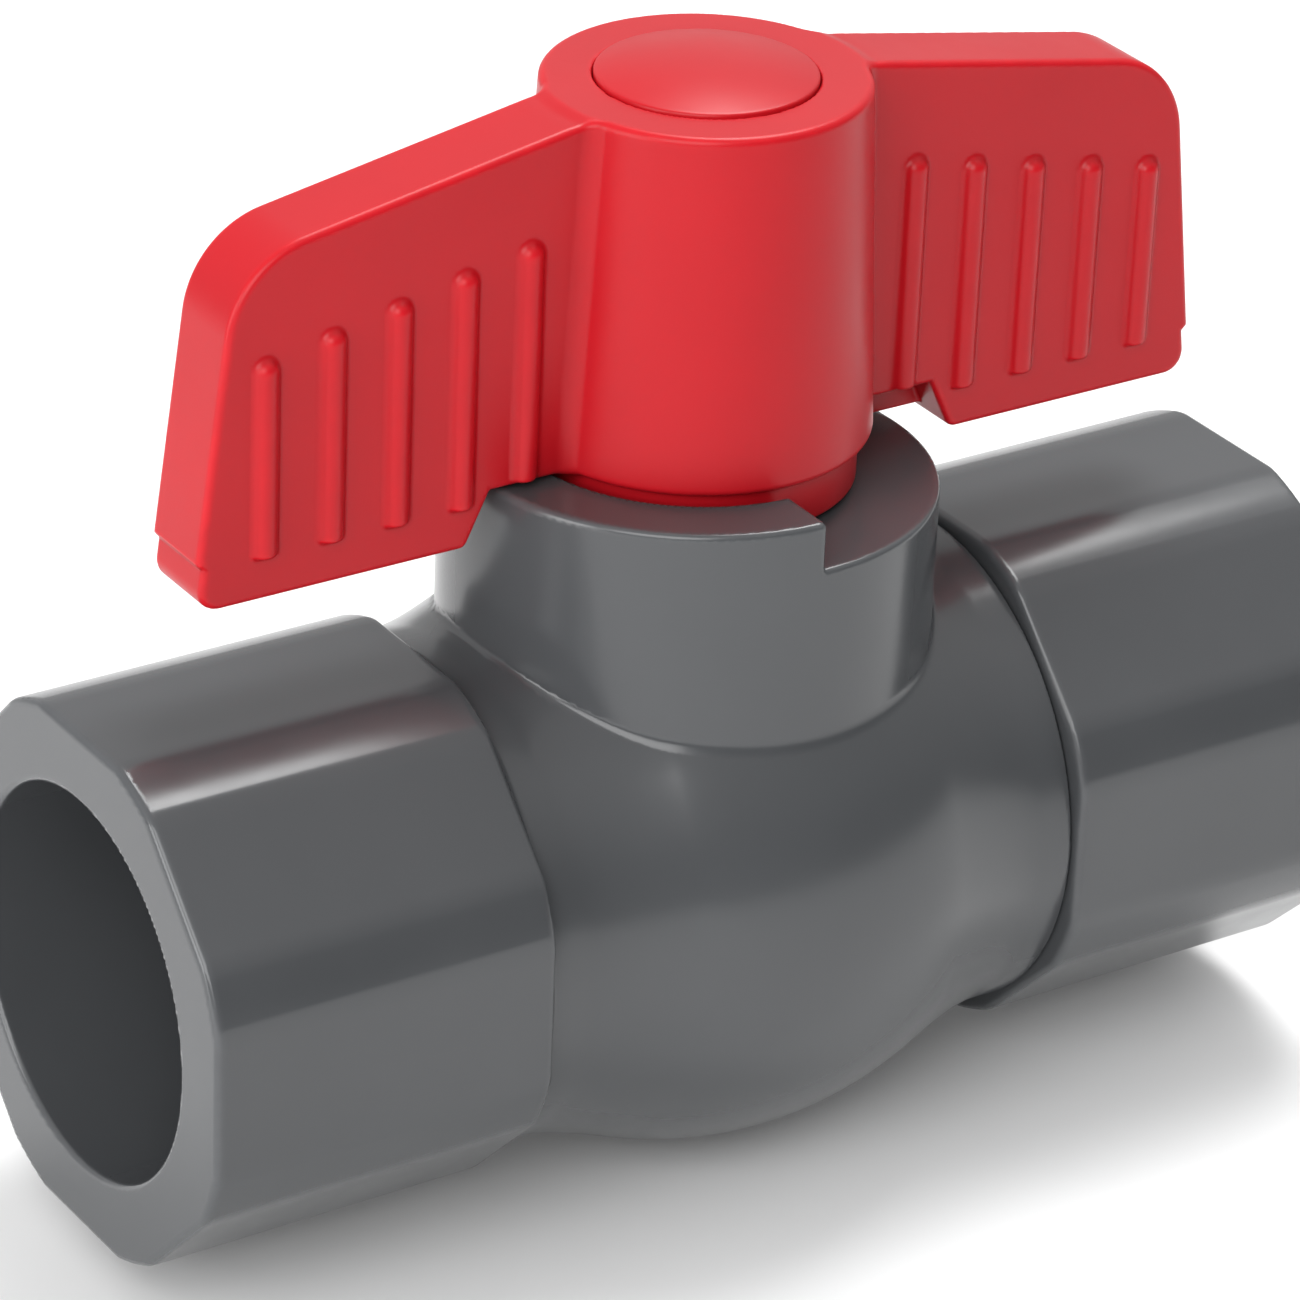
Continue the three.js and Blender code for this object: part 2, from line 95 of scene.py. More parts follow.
# Body.
WAIST_R = 16.6
BELLY_CURVE_R = 26.3
COLLAR_R = 15.7
COLLAR_INNER_R = 11.4
COLLAR_FLOOR_Z = 24.8
CHAMBER_R = 14.8
CHAMBER_END_X = 9.0
FLOW_R = 9.6
POCKET_R = 13.2
POCKET_X = 14.2
CUSHION_GROOVE = (10.6, 12.8, 16.3)
SPIGOT_R = 14.5
SPIGOT_X = 9.3
SPIGOT_GROOVE = (12.9, 16.95, 18.85)
BODY_FILLET_R = 0.35
COLLAR_EDGE_R = 0.4
WAIST_EDGE_R = 0.3
WAIST_FILLET_R = 2.0
BORE_EDGE_R = 0.2
SPIGOT_EDGE_R = 0.3
SPIGOT_FILLET_R = 0.15

# Ball and stem.
BALL_BORE_R = 9.4
SLOT_WIDTH = 5.0
SLOT_FLOOR_Z = 10.4
STEM_R = 4.9
STEM_BORE_R = 5.3
TANG_WIDTH = 4.4
TANG_LENGTH = 9.0
FLANGE_BOTTOM_Z = 14.95
FLANGE_TOP_Z = 16.4
COUNTERBORE_R = 6.8
COUNTERBORE_TOP_Z = 17.6
STEM_RING_ZS = (19.3, 22.5)
STEM_GROOVE_R = 3.5
STEM_GROOVE_WIDTH = 1.8
SQUARE_SIDE = 7.0
SQUARE_BOTTOM_Z = 25.5
SCREW_SHANK_R = 1.75
SCREW_HEAD_HEIGHT = 2.5
CAP_DOME_RISE = 0.9
THREAD_PITCH = 0.7
THREAD_DEPTH = 0.28
BALL_BORE_EDGE_R = 0.5
SLOT_EDGE_R = 0.3
STEM_EDGE_R = 0.3
SQUARE_EDGE_R = 0.5
TANG_EDGE_R = 0.4
TANG_FILLET_R = 0.2
STEM_GROOVE_EDGE_R = 0.12
SCREW_HOLE_EDGE_R = 0.25
SCREW_HEAD_EDGE_R = 0.8
RECESS_DEPTH = 1.5
RECESS_DRAFT = 0.35
RECESS_HALF_WIDTH = 0.5
RECESS_EDGE_R = 0.12

# Handle.
HUB_BOTTOM_Z = 28.3
HUB_BOTTOM_R = 11.3
HUB_TOP_R = 10.2
HUB_WEB_TOP_Z = 42.5
SCREW_POCKET_R = 6.0
CAP_SEAT_Z = 48.9
CAP_SEAT_R = 6.95
SKIRT_R = 10.4
SKIRT_BOTTOM_Z = 25.1
WING_ROOT_X = 9.6
WING_HALF_THICKNESS = 2.85
WING_TOP_SLOPE = -0.18
WING_CORNER_X = 34.15
WING_CORNER_Z = 46.95
WING_CORNER_R = 6.5
WING_TIP_STEP = 0.4
WING_TIP_STEP_Z = 28.0
WING_BOTTOM_CORNER_R = 1.6
WING_NOTCH_X = 18.0
WING_NOTCH_RUN = 1.7
WING_NOTCH_Z = 28.3
RIB_COUNT = 5
RIB_FIRST_X = 14.0
RIB_PITCH = 4.53
RIB_R = 0.85
RIB_HEIGHT = 0.7
RIB_BOTTOM_Z = 27.7
RIB_TOP_Z = 44.3
RIB_TOP_SLOPE = -0.204
FOOT_X = (10.5, 17.8)
FOOT_BOTTOM_Z = 25.5
WING_TIP_STEP_RUN = 0.3
WING_NOTCH_EDGE_R = 0.4
WING_HUB_FILLET_R = 0.9
HANDLE_EDGE_R = 0.45
RIB_EDGE_R = 0.3
HUB_BOTTOM_EDGE_R = 0.6
HUB_HOLE_EDGE_R = 0.3
SKIRT_EDGE_R = 0.3
SKIRT_FILLET_R = 0.2
FOOT_EDGE_R = 0.3
FOOT_FILLET_R = 0.2
DRIVE_CORNER_R = 0.4
SCREW_WAY_CLEARANCE = 0.5
SCREW_WAY_EDGE_R = 0.1
CAP_SEAT_EDGE_R = 0.12

# Meshes.
RELAX_ROUNDS = 3
LONGEST_MOVE = 0.3

# Colours and light.
GREY = (0.064, 0.067, 0.071)
RED = (0.46, 0.006, 0.012)
LIGHT_AIM = (0, 0, 0.03)

# ---------------------------------------------------------------- distance fields


def rounded_cap(a, b, radius):
    """Where both fields are negative, with the shared edge rounded."""
    u = a + radius
    v = b + radius
    return np.minimum(np.maximum(u, v), 0) + np.hypot(np.maximum(u, 0), np.maximum(v, 0)) - radius


def rounded_join(a, b, radius):
    """Where either field is negative, with a fillet in the corner between them."""
    return -rounded_cap(-a, -b, radius)


def rounded_cut(solid, hole, radius):
    """The solid without the hole, with the hole's edge rounded."""
    return rounded_cap(solid, -hole, radius)


def slab(t, low, high):
    return np.maximum(low - t, t - high)


def drum(radial, along, radius, low, high, edge=0.0):
    """Cylinder from low to high along its axis."""
    return rounded_cap(radial - radius, slab(along, low, high), edge)


def ring_slot(radial, along, inner, outer, low, high):
    """Rectangular ring, used to cut a groove."""
    return np.maximum(slab(radial, inner, outer), slab(along, low, high))


def block(x, y, z, x_range, y_range, z_range, edge=0.0):
    plan = rounded_cap(slab(x, *x_range), slab(y, *y_range), edge)
    return rounded_cap(plan, slab(z, *z_range), edge)


def wedge(a, b, cosine, radius):
    """Inside of two half-planes whose normals have that cosine, with the corner rounded."""
    u = a + radius
    v = b + radius
    past_corner = (u > cosine * v) & (v > cosine * u)
    reach = np.sqrt(np.maximum(u * u + v * v - 2 * u * v * cosine, 0) / (1 - cosine * cosine))
    return np.where(past_corner, reach, np.maximum(u, v)) - radius


def octagon(y, z):
    """Round bar with eight flats, one of them on top, across the pipe axis."""
    turn = np.round(np.arctan2(z, y) / (math.pi / 4)) * (math.pi / 4)
    flats = y * np.cos(turn) + z * np.sin(turn) - OCTAGON_HALF
    return rounded_cap(flats, np.hypot(y, z) - SOCKET_R, OCTAGON_EDGE_R)


def socket_outside(x, y, z):
    """Eight-sided socket on the +X side, with a narrow rounded edge round the mouth."""
    return rounded_cap(octagon(y, z), slab(x, SHOULDER_X, END_X), MOUTH_EDGE_R)


def socket_hollow(x, radial):
    """Pipe bore, flow bore, seat pocket and ring groove on the +X side."""
    stop_x = END_X - SOCKET_DEPTH
    taper = (SOCKET_MOUTH_R - SOCKET_ROOT_R) / SOCKET_DEPTH
    pipe_bore = np.maximum(radial - SOCKET_ROOT_R - taper * (x - stop_x), slab(x, stop_x, END_X + 2))
    flow = drum(radial, x, FLOW_R, POCKET_X - 0.1, stop_x + 0.1)
    groove_inner, groove_outer, groove_x = CUSHION_GROOVE
    groove = ring_slot(radial, x, groove_inner, groove_outer, POCKET_X - 0.1, groove_x)
    pocket = drum(radial, x, POCKET_R, SPIGOT_X - 1, POCKET_X)
    return np.minimum(np.minimum(pipe_bore, flow), np.minimum(groove, pocket))


def collar(x, y, z):
    """Round collar, raised all round except over one quarter, whose two ends stop the handle."""
    rho = np.hypot(x, y)
    top = COLLAR_TOP_Z + 2
    reach = COLLAR_R + 3
    stop_y = WING_HALF_THICKNESS + GAP
    well = drum(rho, z, COLLAR_INNER_R, COLLAR_FLOOR_Z, top)
    low_quarter = block(x, y, z, (-GAP, reach), (-reach, stop_y), (COLLAR_FLOOR_Z, top))
    ring = drum(rho, z, COLLAR_R, 0, COLLAR_TOP_Z, COLLAR_EDGE_R)
    return rounded_cut(ring, np.minimum(well, low_quarter), BODY_FILLET_R)


def main_body(x, y, z):
    """Left socket, belly round the ball, and collar, with the holes for what stands inside."""
    radial = np.hypot(y, z)
    rho = np.hypot(x, y)
    curve = np.hypot(x, radial - (BELLY_R - BELLY_CURVE_R)) - BELLY_CURVE_R
    swell = np.maximum(curve, slab(x, SEAM - SHOULDER_X, SHOULDER_X - SEAM))
    waist = drum(radial, x, WAIST_R, -SHOULDER_X - 1, SHOULDER_X - SEAM, WAIST_EDGE_R)
    shell = rounded_join(waist, swell, WAIST_FILLET_R)
    shell = rounded_join(shell, socket_outside(-x, y, z), BODY_FILLET_R)
    shell = rounded_join(shell, collar(x, y, z), BODY_FILLET_R)
    shell = rounded_cut(shell, socket_hollow(-x, radial), BODY_FILLET_R)
    chamber = drum(radial, x, CHAMBER_R, -CHAMBER_END_X, SHOULDER_X + 1)
    stem_bore = drum(rho, z, STEM_BORE_R, 0, COLLAR_FLOOR_Z + 1)
    counterbore = drum(rho, z, COUNTERBORE_R, 0, COUNTERBORE_TOP_Z)
    for hole in (chamber, stem_bore, counterbore):
        shell = rounded_cut(shell, hole, BORE_EDGE_R)
    return shell


def end_connector(x, y, z):
    """Right socket with the grooved spigot that goes into the body."""
    radial = np.hypot(y, z)
    spigot = drum(radial, x, SPIGOT_R, SPIGOT_X, SHOULDER_X + 1, SPIGOT_EDGE_R)
    floor_r, groove_low, groove_high = SPIGOT_GROOVE
    groove = ring_slot(radial, x, floor_r, SPIGOT_R + 1, groove_low, groove_high)
    shell = rounded_join(socket_outside(x, y, z), spigot, SPIGOT_FILLET_R)
    shell = rounded_cut(shell, groove, SPIGOT_FILLET_R)
    return rounded_cut(shell, socket_hollow(x, radial), BODY_FILLET_R)


def ball(x, y, z):
    """Ball bored along the pipe, with a slot across its top for the stem's tang."""
    sphere = np.sqrt(x * x + y * y + z * z) - BALL_R
    bore = np.hypot(y, z) - BALL_BORE_R
    half = SLOT_WIDTH / 2
    past = BALL_R + 2
    slot = block(x, y, z, (-half, half), (-past, past), (SLOT_FLOOR_Z, past), SLOT_EDGE_R)
    return rounded_cut(rounded_cut(sphere, bore, BALL_BORE_EDGE_R), slot, SLOT_EDGE_R)


def stem(x, y, z):
    """Tang, flange, grooved shaft and square drive, with a hole for the screw."""
    rho = np.hypot(x, y)
    half = SQUARE_SIDE / 2
    tang_x = TANG_WIDTH / 2
    tang_y = TANG_LENGTH / 2
    flange = drum(rho, z, FLANGE_R, FLANGE_BOTTOM_Z, FLANGE_TOP_Z, STEM_EDGE_R)
    shaft = drum(rho, z, STEM_R, FLANGE_BOTTOM_Z, SQUARE_BOTTOM_Z, STEM_EDGE_R)
    square_z = (SQUARE_BOTTOM_Z - 1, STEM_TOP_Z)
    square = block(x, y, z, (-half, half), (-half, half), square_z, SQUARE_EDGE_R)
    tang_z = (STEM_BOTTOM_Z, FLANGE_TOP_Z)
    tang = block(x, y, z, (-tang_x, tang_x), (-tang_y, tang_y), tang_z, TANG_EDGE_R)
    round_part = rounded_join(flange, shaft, STEM_EDGE_R)
    solid = rounded_join(round_part, rounded_join(square, tang, TANG_FILLET_R), STEM_EDGE_R)
    for ring_z in STEM_RING_ZS:
        low, high = ring_z - STEM_GROOVE_WIDTH / 2, ring_z + STEM_GROOVE_WIDTH / 2
        groove = ring_slot(rho, z, STEM_GROOVE_R, STEM_R + 1, low, high)
        solid = rounded_cut(solid, groove, STEM_GROOVE_EDGE_R)
    screw_hole = drum(rho, z, SCREW_SHANK_R + GAP, SCREW_TIP_Z - GAP, STEM_TOP_Z + 1)
    return rounded_cut(solid, screw_hole, SCREW_HOLE_EDGE_R)


def handle_screw(x, y, z):
    """Pan-head screw with a cross recess and a thread along its shank."""
    rho = np.hypot(x, y)
    head_bottom = SCREW_TOP_Z - SCREW_HEAD_HEIGHT
    turn = np.arctan2(y, x) / (2 * math.pi)
    crest = np.abs(np.mod(z / THREAD_PITCH - turn, 1.0) - 0.5) * 2
    thread_r = SCREW_SHANK_R - THREAD_DEPTH * crest
    shank = np.maximum((rho - thread_r) * 0.7, slab(z, SCREW_TIP_Z, head_bottom + 0.4))
    head = drum(rho, z, SCREW_HEAD_R, head_bottom, SCREW_TOP_Z, SCREW_HEAD_EDGE_R)
    narrowing = RECESS_DRAFT * (SCREW_TOP_Z - z)
    long_arm = SCREW_HEAD_R * 0.6 - narrowing
    half = RECESS_HALF_WIDTH - narrowing * 0.25
    across = np.maximum(np.abs(x) - long_arm, np.abs(y) - half)
    along = np.maximum(np.abs(y) - long_arm, np.abs(x) - half)
    recess = np.maximum(np.minimum(across, along), SCREW_TOP_Z - RECESS_DEPTH - z)
    return rounded_cut(np.minimum(shank, head), recess, RECESS_EDGE_R)


def wing_outline(x, z):
    """Top and tip edges of a wing on the +X side, with the small step low on its tip."""
    tip_slope = (WING_TIP_X - WING_CORNER_X) / (WING_CORNER_Z - WING_TIP_STEP_Z)
    top_length = math.hypot(1, WING_TOP_SLOPE)
    tip_length = math.hypot(1, tip_slope)
    top = (z - WING_CORNER_Z - WING_TOP_SLOPE * (x - WING_CORNER_X)) / top_length
    tip = (x - WING_CORNER_X - tip_slope * (WING_CORNER_Z - z)) / tip_length
    tip = tip + WING_TIP_STEP * np.clip((WING_TIP_STEP_Z - z) / WING_TIP_STEP_RUN, 0, 1)
    cosine = (tip_slope - WING_TOP_SLOPE) / (top_length * tip_length)
    return wedge(top, tip, cosine, WING_CORNER_R)


def ribs(x, y, z):
    """Upright half-round ribs on both faces of a wing, shorter towards the tip."""
    index = np.clip(np.round((x - RIB_FIRST_X) / RIB_PITCH), 0, RIB_COUNT - 1)
    rib_x = RIB_FIRST_X + index * RIB_PITCH
    top_z = RIB_TOP_Z + (rib_x - RIB_FIRST_X) * RIB_TOP_SLOPE - RIB_R
    bottom_z = np.where(index == 0, WING_NOTCH_Z + GAP, RIB_BOTTOM_Z)
    core_y = WING_HALF_THICKNESS + RIB_HEIGHT - RIB_R
    past_top = np.maximum(z - top_z, 0)
    rod = np.sqrt((x - rib_x) ** 2 + (np.abs(y) - core_y) ** 2 + past_top**2) - RIB_R
    return rounded_cap(rod, bottom_z - z, RIB_EDGE_R)


def wing(x, y, z):
    """Flat wing on the +X side, ribbed on both faces and notched to pass over the collar."""
    outline = rounded_cap(wing_outline(x, z), WING_BOTTOM_Z - z, WING_BOTTOM_CORNER_R)
    notch_slope = WING_NOTCH_RUN / (WING_NOTCH_Z - WING_BOTTOM_Z)
    notch_side = x - WING_NOTCH_X + notch_slope * (z - WING_BOTTOM_Z)
    notch = np.maximum(notch_side, z - WING_NOTCH_Z)
    outline = rounded_cut(outline, notch, WING_NOTCH_EDGE_R)
    plate = rounded_cap(outline, np.abs(y) - WING_HALF_THICKNESS, HANDLE_EDGE_R)
    return rounded_join(plate, ribs(x, y, z), RIB_EDGE_R)


def skirt(rho, z):
    """Ring under the hub that runs inside the collar round the stem."""
    ring = drum(rho, z, SKIRT_R, SKIRT_BOTTOM_Z, HUB_BOTTOM_Z + 1, SKIRT_EDGE_R)
    bore = drum(rho, z, STEM_BORE_R, SKIRT_BOTTOM_Z - 1, SQUARE_BOTTOM_Z + GAP)
    return rounded_cut(ring, bore, BORE_EDGE_R)


def handle(x, y, z):
    """Tapered hub with two wings, alike but for the stop foot in the +X wing's notch."""
    rho = np.hypot(x, y)
    side = np.where(x < 0, -1.0, 1.0)
    wings = wing(x * side, y * side, z)
    wings = np.maximum(wings, WING_ROOT_X - np.abs(x))
    taper = (HUB_BOTTOM_R - HUB_TOP_R) / (HUB_TOP_Z - HUB_BOTTOM_Z)
    hub_side = rho - HUB_BOTTOM_R + taper * (z - HUB_BOTTOM_Z)
    hub = rounded_cap(hub_side, HUB_BOTTOM_Z - z, HUB_BOTTOM_EDGE_R)
    hub = rounded_join(hub, skirt(rho, z), SKIRT_FILLET_R)
    foot_z = (FOOT_BOTTOM_Z, WING_NOTCH_Z + 2)
    foot = block(x, y, z, FOOT_X, (0, WING_HALF_THICKNESS), foot_z, FOOT_EDGE_R)
    solid = rounded_join(hub, rounded_join(wings, foot, FOOT_FILLET_R), WING_HUB_FILLET_R)
    solid = rounded_cap(solid, z - HUB_TOP_Z, HANDLE_EDGE_R)
    half = SQUARE_SIDE / 2 + GAP
    drive_z = (SKIRT_BOTTOM_Z - 1, STEM_TOP_Z + GAP)
    drive = block(x, y, z, (-half, half), (-half, half), drive_z, DRIVE_CORNER_R)
    solid = rounded_cut(solid, drive, HUB_HOLE_EDGE_R)
    screw_way = drum(rho, z, SCREW_SHANK_R + SCREW_WAY_CLEARANCE, STEM_TOP_Z, HUB_TOP_Z)
    solid = rounded_cut(solid, screw_way, SCREW_WAY_EDGE_R)
    pocket = drum(rho, z, SCREW_POCKET_R, HUB_WEB_TOP_Z, HUB_TOP_Z + 1)
    solid = rounded_cut(solid, pocket, HUB_HOLE_EDGE_R)
    cap_seat = drum(rho, z, CAP_SEAT_R, CAP_SEAT_Z, HUB_TOP_Z + 2)
    return rounded_cut(solid, cap_seat, CAP_SEAT_EDGE_R)


# ---------------------------------------------------------------- meshes from fields


def slopes(field, points):
    """Unit normals of the field at the points."""
    step = 0.02
    columns = []
    for axis in range(3):
        shift = np.zeros(3)
        shift[axis] = step
        ahead = field(*(points + shift).T)
        behind = field(*(points - shift).T)
        columns.append(ahead - behind)
    normals = np.stack(columns, axis=1)
    return normals / np.maximum(np.linalg.norm(normals, axis=1, keepdims=True), 1e-9)


def bend(field, points, normals):
    """Mean field a little way along the surface: positive on edges, negative in inside corners."""
    reach = 0.45
    first = np.cross(normals, (0.31, 0.52, 0.79))
    first = reach * first / np.maximum(np.linalg.norm(first, axis=1, keepdims=True), 1e-6)
    second = np.cross(normals, first)
    return sum(field(*(points + step).T) for step in (first, -first, second, -second)) / 4


def settle(field, points, rounds=3):
    """Moves points onto the zero surface of the field."""
    for _ in range(rounds):
        distance = np.clip(field(*points.T), -LONGEST_MOVE, LONGEST_MOVE)
        points = points - slopes(field, points) * distance[:, None]
    return points


def relax(points, quads):
    """Moves each point half way to the mean of its neighbours, to even out the mesh."""
    starts = quads.ravel()
    ends = np.roll(quads, -1, axis=1).ravel()
    count = np.bincount(starts, minlength=len(points)).astype(float)
    mean = np.stack(
        [np.bincount(starts, weights=points[ends, axis], minlength=len(points)) for axis in range(3)],
        axis=1,
    )
    return 0.5 * points + 0.5 * mean / np.maximum(count, 1)[:, None]


def net_of(field, low, high, cell):
    """Points and quads of a surface net round the zero surface of the field."""
    sizes = np.ceil((np.array(high) - np.array(low)) / cell).astype(int) + 3
    axes = [low[a] - cell * 1.13 + cell * np.arange(sizes[a]) for a in range(3)]
    x, y, z = np.meshgrid(*axes, indexing="ij", sparse=True)
    values = np.broadcast_to(field(x, y, z), sizes)
    inside = values < 0
    corners = [(i, j, k) for i in (0, 1) for j in (0, 1) for k in (0, 1)]
    shape = tuple(sizes - 1)
    filled = sum(inside[i : i + shape[0], j : j + shape[1], k : k + shape[2]].astype(np.int8)
                 for i, j, k in corners)
    cells = np.argwhere((filled > 0) & (filled < 8))
    at_corner = {c: values[tuple((cells + c).T)] for c in corners}
    total = np.zeros((len(cells), 3))
    crossings = np.zeros(len(cells))
    for start in corners:
        for axis in range(3):
            if start[axis]:
                continue
            end = tuple(1 if a == axis else start[a] for a in range(3))
            first, last = at_corner[start], at_corner[end]
            crosses = (first < 0) != (last < 0)
            share = np.where(crosses, first / np.where(crosses, first - last, 1), 0)
            place = np.array(start, float) + share[:, None] * np.eye(3)[axis]
            total += np.where(crosses[:, None], place, 0)
            crossings += crosses
    points = cells + total / crossings[:, None]
    points = points * cell + np.array([a[0] for a in axes])
    index = np.full(shape, -1, np.int32)
    index[tuple(cells.T)] = np.arange(len(cells))
    return points, quads_of(inside, index)


def quads_of(inside, index):
    """One quad for each grid edge whose ends lie on different sides of the surface."""
    quads = []
    for axis in range(3):
        first = np.moveaxis(inside, axis, 0)
        cells = np.moveaxis(index, axis, 0)
        if axis == 1:
            first, cells = first.swapaxes(1, 2), cells.swapaxes(1, 2)
        near, far = first[:-1, 1:-1, 1:-1], first[1:, 1:-1, 1:-1]
        for faces_out, mask in ((True, near & ~far), (False, ~near & far)):
            i, j, k = np.nonzero(mask)
            ring = [cells[i, j, k], cells[i, j + 1, k], cells[i, j + 1, k + 1], cells[i, j, k + 1]]
            quads.append(np.stack(ring if faces_out else ring[::-1], axis=1))
    return np.concatenate(quads)


def mesh_from(name, points, faces):
    """Blender mesh in metres in the row frame, from points in millimetres about the pipe axis."""
    places = (points + np.array([0.0, 0.0, AXIS_Z])) * MM
    mesh = bpy.data.meshes.new(name)
    mesh.from_pydata(places.tolist(), [], [list(face) for face in faces])
    mesh.shade_smooth()
    return mesh


def surface_of(name, field, node, cell):
    """Closed mesh object on the zero surface of the field, within a CAD node's box."""
    low, high = box_mm(node)
    points, quads = net_of(field, low, high, cell)
    points = settle(field, points)
    for _ in range(RELAX_ROUNDS):
        points = settle(field, relax(points, quads), rounds=2)
    normals = slopes(field, points)
    mesh = mesh_from(name, points, quads.tolist())
    mesh.normals_split_custom_set_from_vertices(normals.tolist())
    shape = mesh.attributes.new("bend", "FLOAT", "POINT")
    shape.data.foreach_set("value", bend(field, points, normals).astype(np.float32))
    piece = bpy.data.objects.new(name, mesh)
    bpy.context.scene.collection.objects.link(piece)
    return piece


# ---------------------------------------------------------------- turned pieces


def soften(profile, edge, steps=4):
    """Rounds the corners of a profile, apart from those on the axis."""
    result = []
    for i, point in enumerate(profile):
        corner = np.array(point, float)
        if corner[0] < 1e-6:
            result.append(tuple(corner))
            continue
        before = np.array(profile[i - 1], float) - corner
        after = np.array(profile[(i + 1) % len(profile)], float) - corner
        start = corner + before * min(edge / np.linalg.norm(before), 0.45)
        end = corner + after * min(edge / np.linalg.norm(after), 0.45)
        for t in np.linspace(0, 1, steps + 1):
            result.append(tuple((1 - t) ** 2 * start + 2 * t * (1 - t) * corner + t * t * end))
    return result


def turned(name, profile, along="z", segments=96):
    """Closed piece turned about the pipe axis or the stem axis from [radius, height] points."""
    angles = np.linspace(0, 2 * math.pi, segments, endpoint=False)
    points = []
    rows = []
    for radius, height in profile:
        start = len(points)
        if radius < 1e-6:
            points.append((0, 0, height))
            rows.append([start] * segments)
            continue
        points += [(radius * math.cos(a), radius * math.sin(a), height) for a in angles]
        rows.append(list(range(start, start + segments)))
    if along == "x":
        points = [(h, a, b) for a, b, h in points]
    faces = []
    for row, following in zip(rows, rows[1:] + rows[:1]):
        for i in range(segments):
            j = (i + 1) % segments
            face = list(dict.fromkeys((row[i], row[j], following[j], following[i])))
            if len(face) > 2:
                faces.append(face)
    mesh = mesh_from(name, np.array(points, float), faces)
    builder = bmesh.new()
    builder.from_mesh(mesh)
    bmesh.ops.recalc_face_normals(builder, faces=builder.faces)
    builder.to_mesh(mesh)
    builder.free()
    mesh.set_sharp_from_angle(angle=math.radians(40))
    piece = bpy.data.objects.new(name, mesh)
    bpy.context.scene.collection.objects.link(piece)
    return piece


def o_ring(name, node, along):
    """Round rubber ring that fills its CAD node's box."""
    low, high = box_mm(node)
    axis = 0 if along == "x" else 2
    outer_r = high[1]
    height = (low[axis] + high[axis]) / 2
    tube_r = (high[axis] - low[axis]) / 2 / math.cos(math.pi / 6)
    ring_r = outer_r - tube_r
    angles = np.linspace(0, 2 * math.pi, 20, endpoint=False)
    profile = [(ring_r + tube_r * math.cos(a), height + tube_r * math.sin(a)) for a in angles]
    return turned(name, profile, along)


def washer(name, node, inner_r, edge):
    low, high = box_mm(node)
    outer_r = high[0]
    profile = [(inner_r, low[2]), (outer_r, low[2]), (outer_r, high[2]), (inner_r, high[2])]
    return turned(name, soften(profile, edge))


def seat_ring(name, side):
    """Seat with a cupped face that follows the ball; side is -1 for left and 1 for right."""
    cup_r = BALL_R + GAP
    inner_r = FLOW_R + 0.1
    start = math.acos(inner_r / cup_r)
    end = math.asin(SEAT_LIP_X / cup_r)
    cup = [(cup_r * math.cos(a), cup_r * math.sin(a)) for a in np.linspace(start, end, 9)]
    profile = [(inner_r, SEAT_BACK_X), *cup, (SEAT_OUTER_R, SEAT_LIP_X), (SEAT_OUTER_R, SEAT_BACK_X)]
    return turned(name, [(radius, side * x) for radius, x in soften(profile, 0.2, 2)], "x")


def handle_cap():
    """Snap-in cap with a rounded rim and a low dome."""
    edge_z = CAP_TOP_Z - CAP_DOME_RISE
    dome_r = (CAP_R**2 + CAP_DOME_RISE**2) / (2 * CAP_DOME_RISE)
    reach = 0.95 * math.asin(CAP_R / dome_r)
    angles = np.linspace(reach, 0, 16)
    dome = [(dome_r * math.sin(a), CAP_TOP_Z - dome_r + dome_r * math.cos(a)) for a in angles]
    side = soften([(0, CAP_BOTTOM_Z), (CAP_R, CAP_BOTTOM_Z), (CAP_R, edge_z), dome[0]], 0.2)
    return turned("cap_disc", side[:-5] + dome)


# ---------------------------------------------------------------- materials


def new_material(name):
    """Empty node material with its Principled shader and an object-space coordinate."""
    material = bpy.data.materials.new(name)
    material.use_nodes = True
    shader = material.node_tree.nodes["Principled BSDF"]
    place = material.node_tree.nodes.new("ShaderNodeTexCoord")
    return material, shader, place.outputs["Object"]


def noise(material, place, scale, detail=3.0, roughness=0.5):
    """Noise value with a scale given in blotches per metre."""
    node = material.node_tree.nodes.new("ShaderNodeTexNoise")
    node.inputs["Scale"].default_value = scale
    node.inputs["Detail"].default_value = detail
    node.inputs["Roughness"].default_value = roughness
    material.node_tree.links.new(place, node.inputs["Vector"])
    return node.outputs["Fac"]


def ramp(material, value, low, high, first, last):
    """Value from low to high mapped onto first to last."""
    node = material.node_tree.nodes.new("ShaderNodeMapRange")
    node.inputs["From Min"].default_value = low
    node.inputs["From Max"].default_value = high
    node.inputs["To Min"].default_value = first
    node.inputs["To Max"].default_value = last
    material.node_tree.links.new(value, node.inputs["Value"])
    return node.outputs["Result"]


def maths(material, kind, first, second):
    node = material.node_tree.nodes.new("ShaderNodeMath")
    node.operation = kind
    for socket, source in zip(node.inputs, (first, second)):
        if isinstance(source, (int, float)):
            socket.default_value = source
        else:
            material.node_tree.links.new(source, socket)
    return node.outputs["Value"]


def mix_colours(material, share, first, last):
    """Colour between first and last; either may be a colour or another node's output."""
    node = material.node_tree.nodes.new("ShaderNodeMix")
    node.data_type = "RGBA"
    material.node_tree.links.new(share, node.inputs["Factor"])
    for socket, source in ((node.inputs["A"], first), (node.inputs["B"], last)):
        if isinstance(source, tuple):
            socket.default_value = (*source, 1.0)
        else:
            material.node_tree.links.new(source, socket)
    return node.outputs["Result"]


def bump(material, shader, height, distance, strength):
    node = material.node_tree.nodes.new("ShaderNodeBump")
    node.inputs["Distance"].default_value = distance
    node.inputs["Strength"].default_value = strength
    material.node_tree.links.new(height, node.inputs["Height"])
    material.node_tree.links.new(node.outputs["Normal"], shader.inputs["Normal"])


def shade(colour, factor):
    return tuple(min(channel * factor, 1.0) for channel in colour)


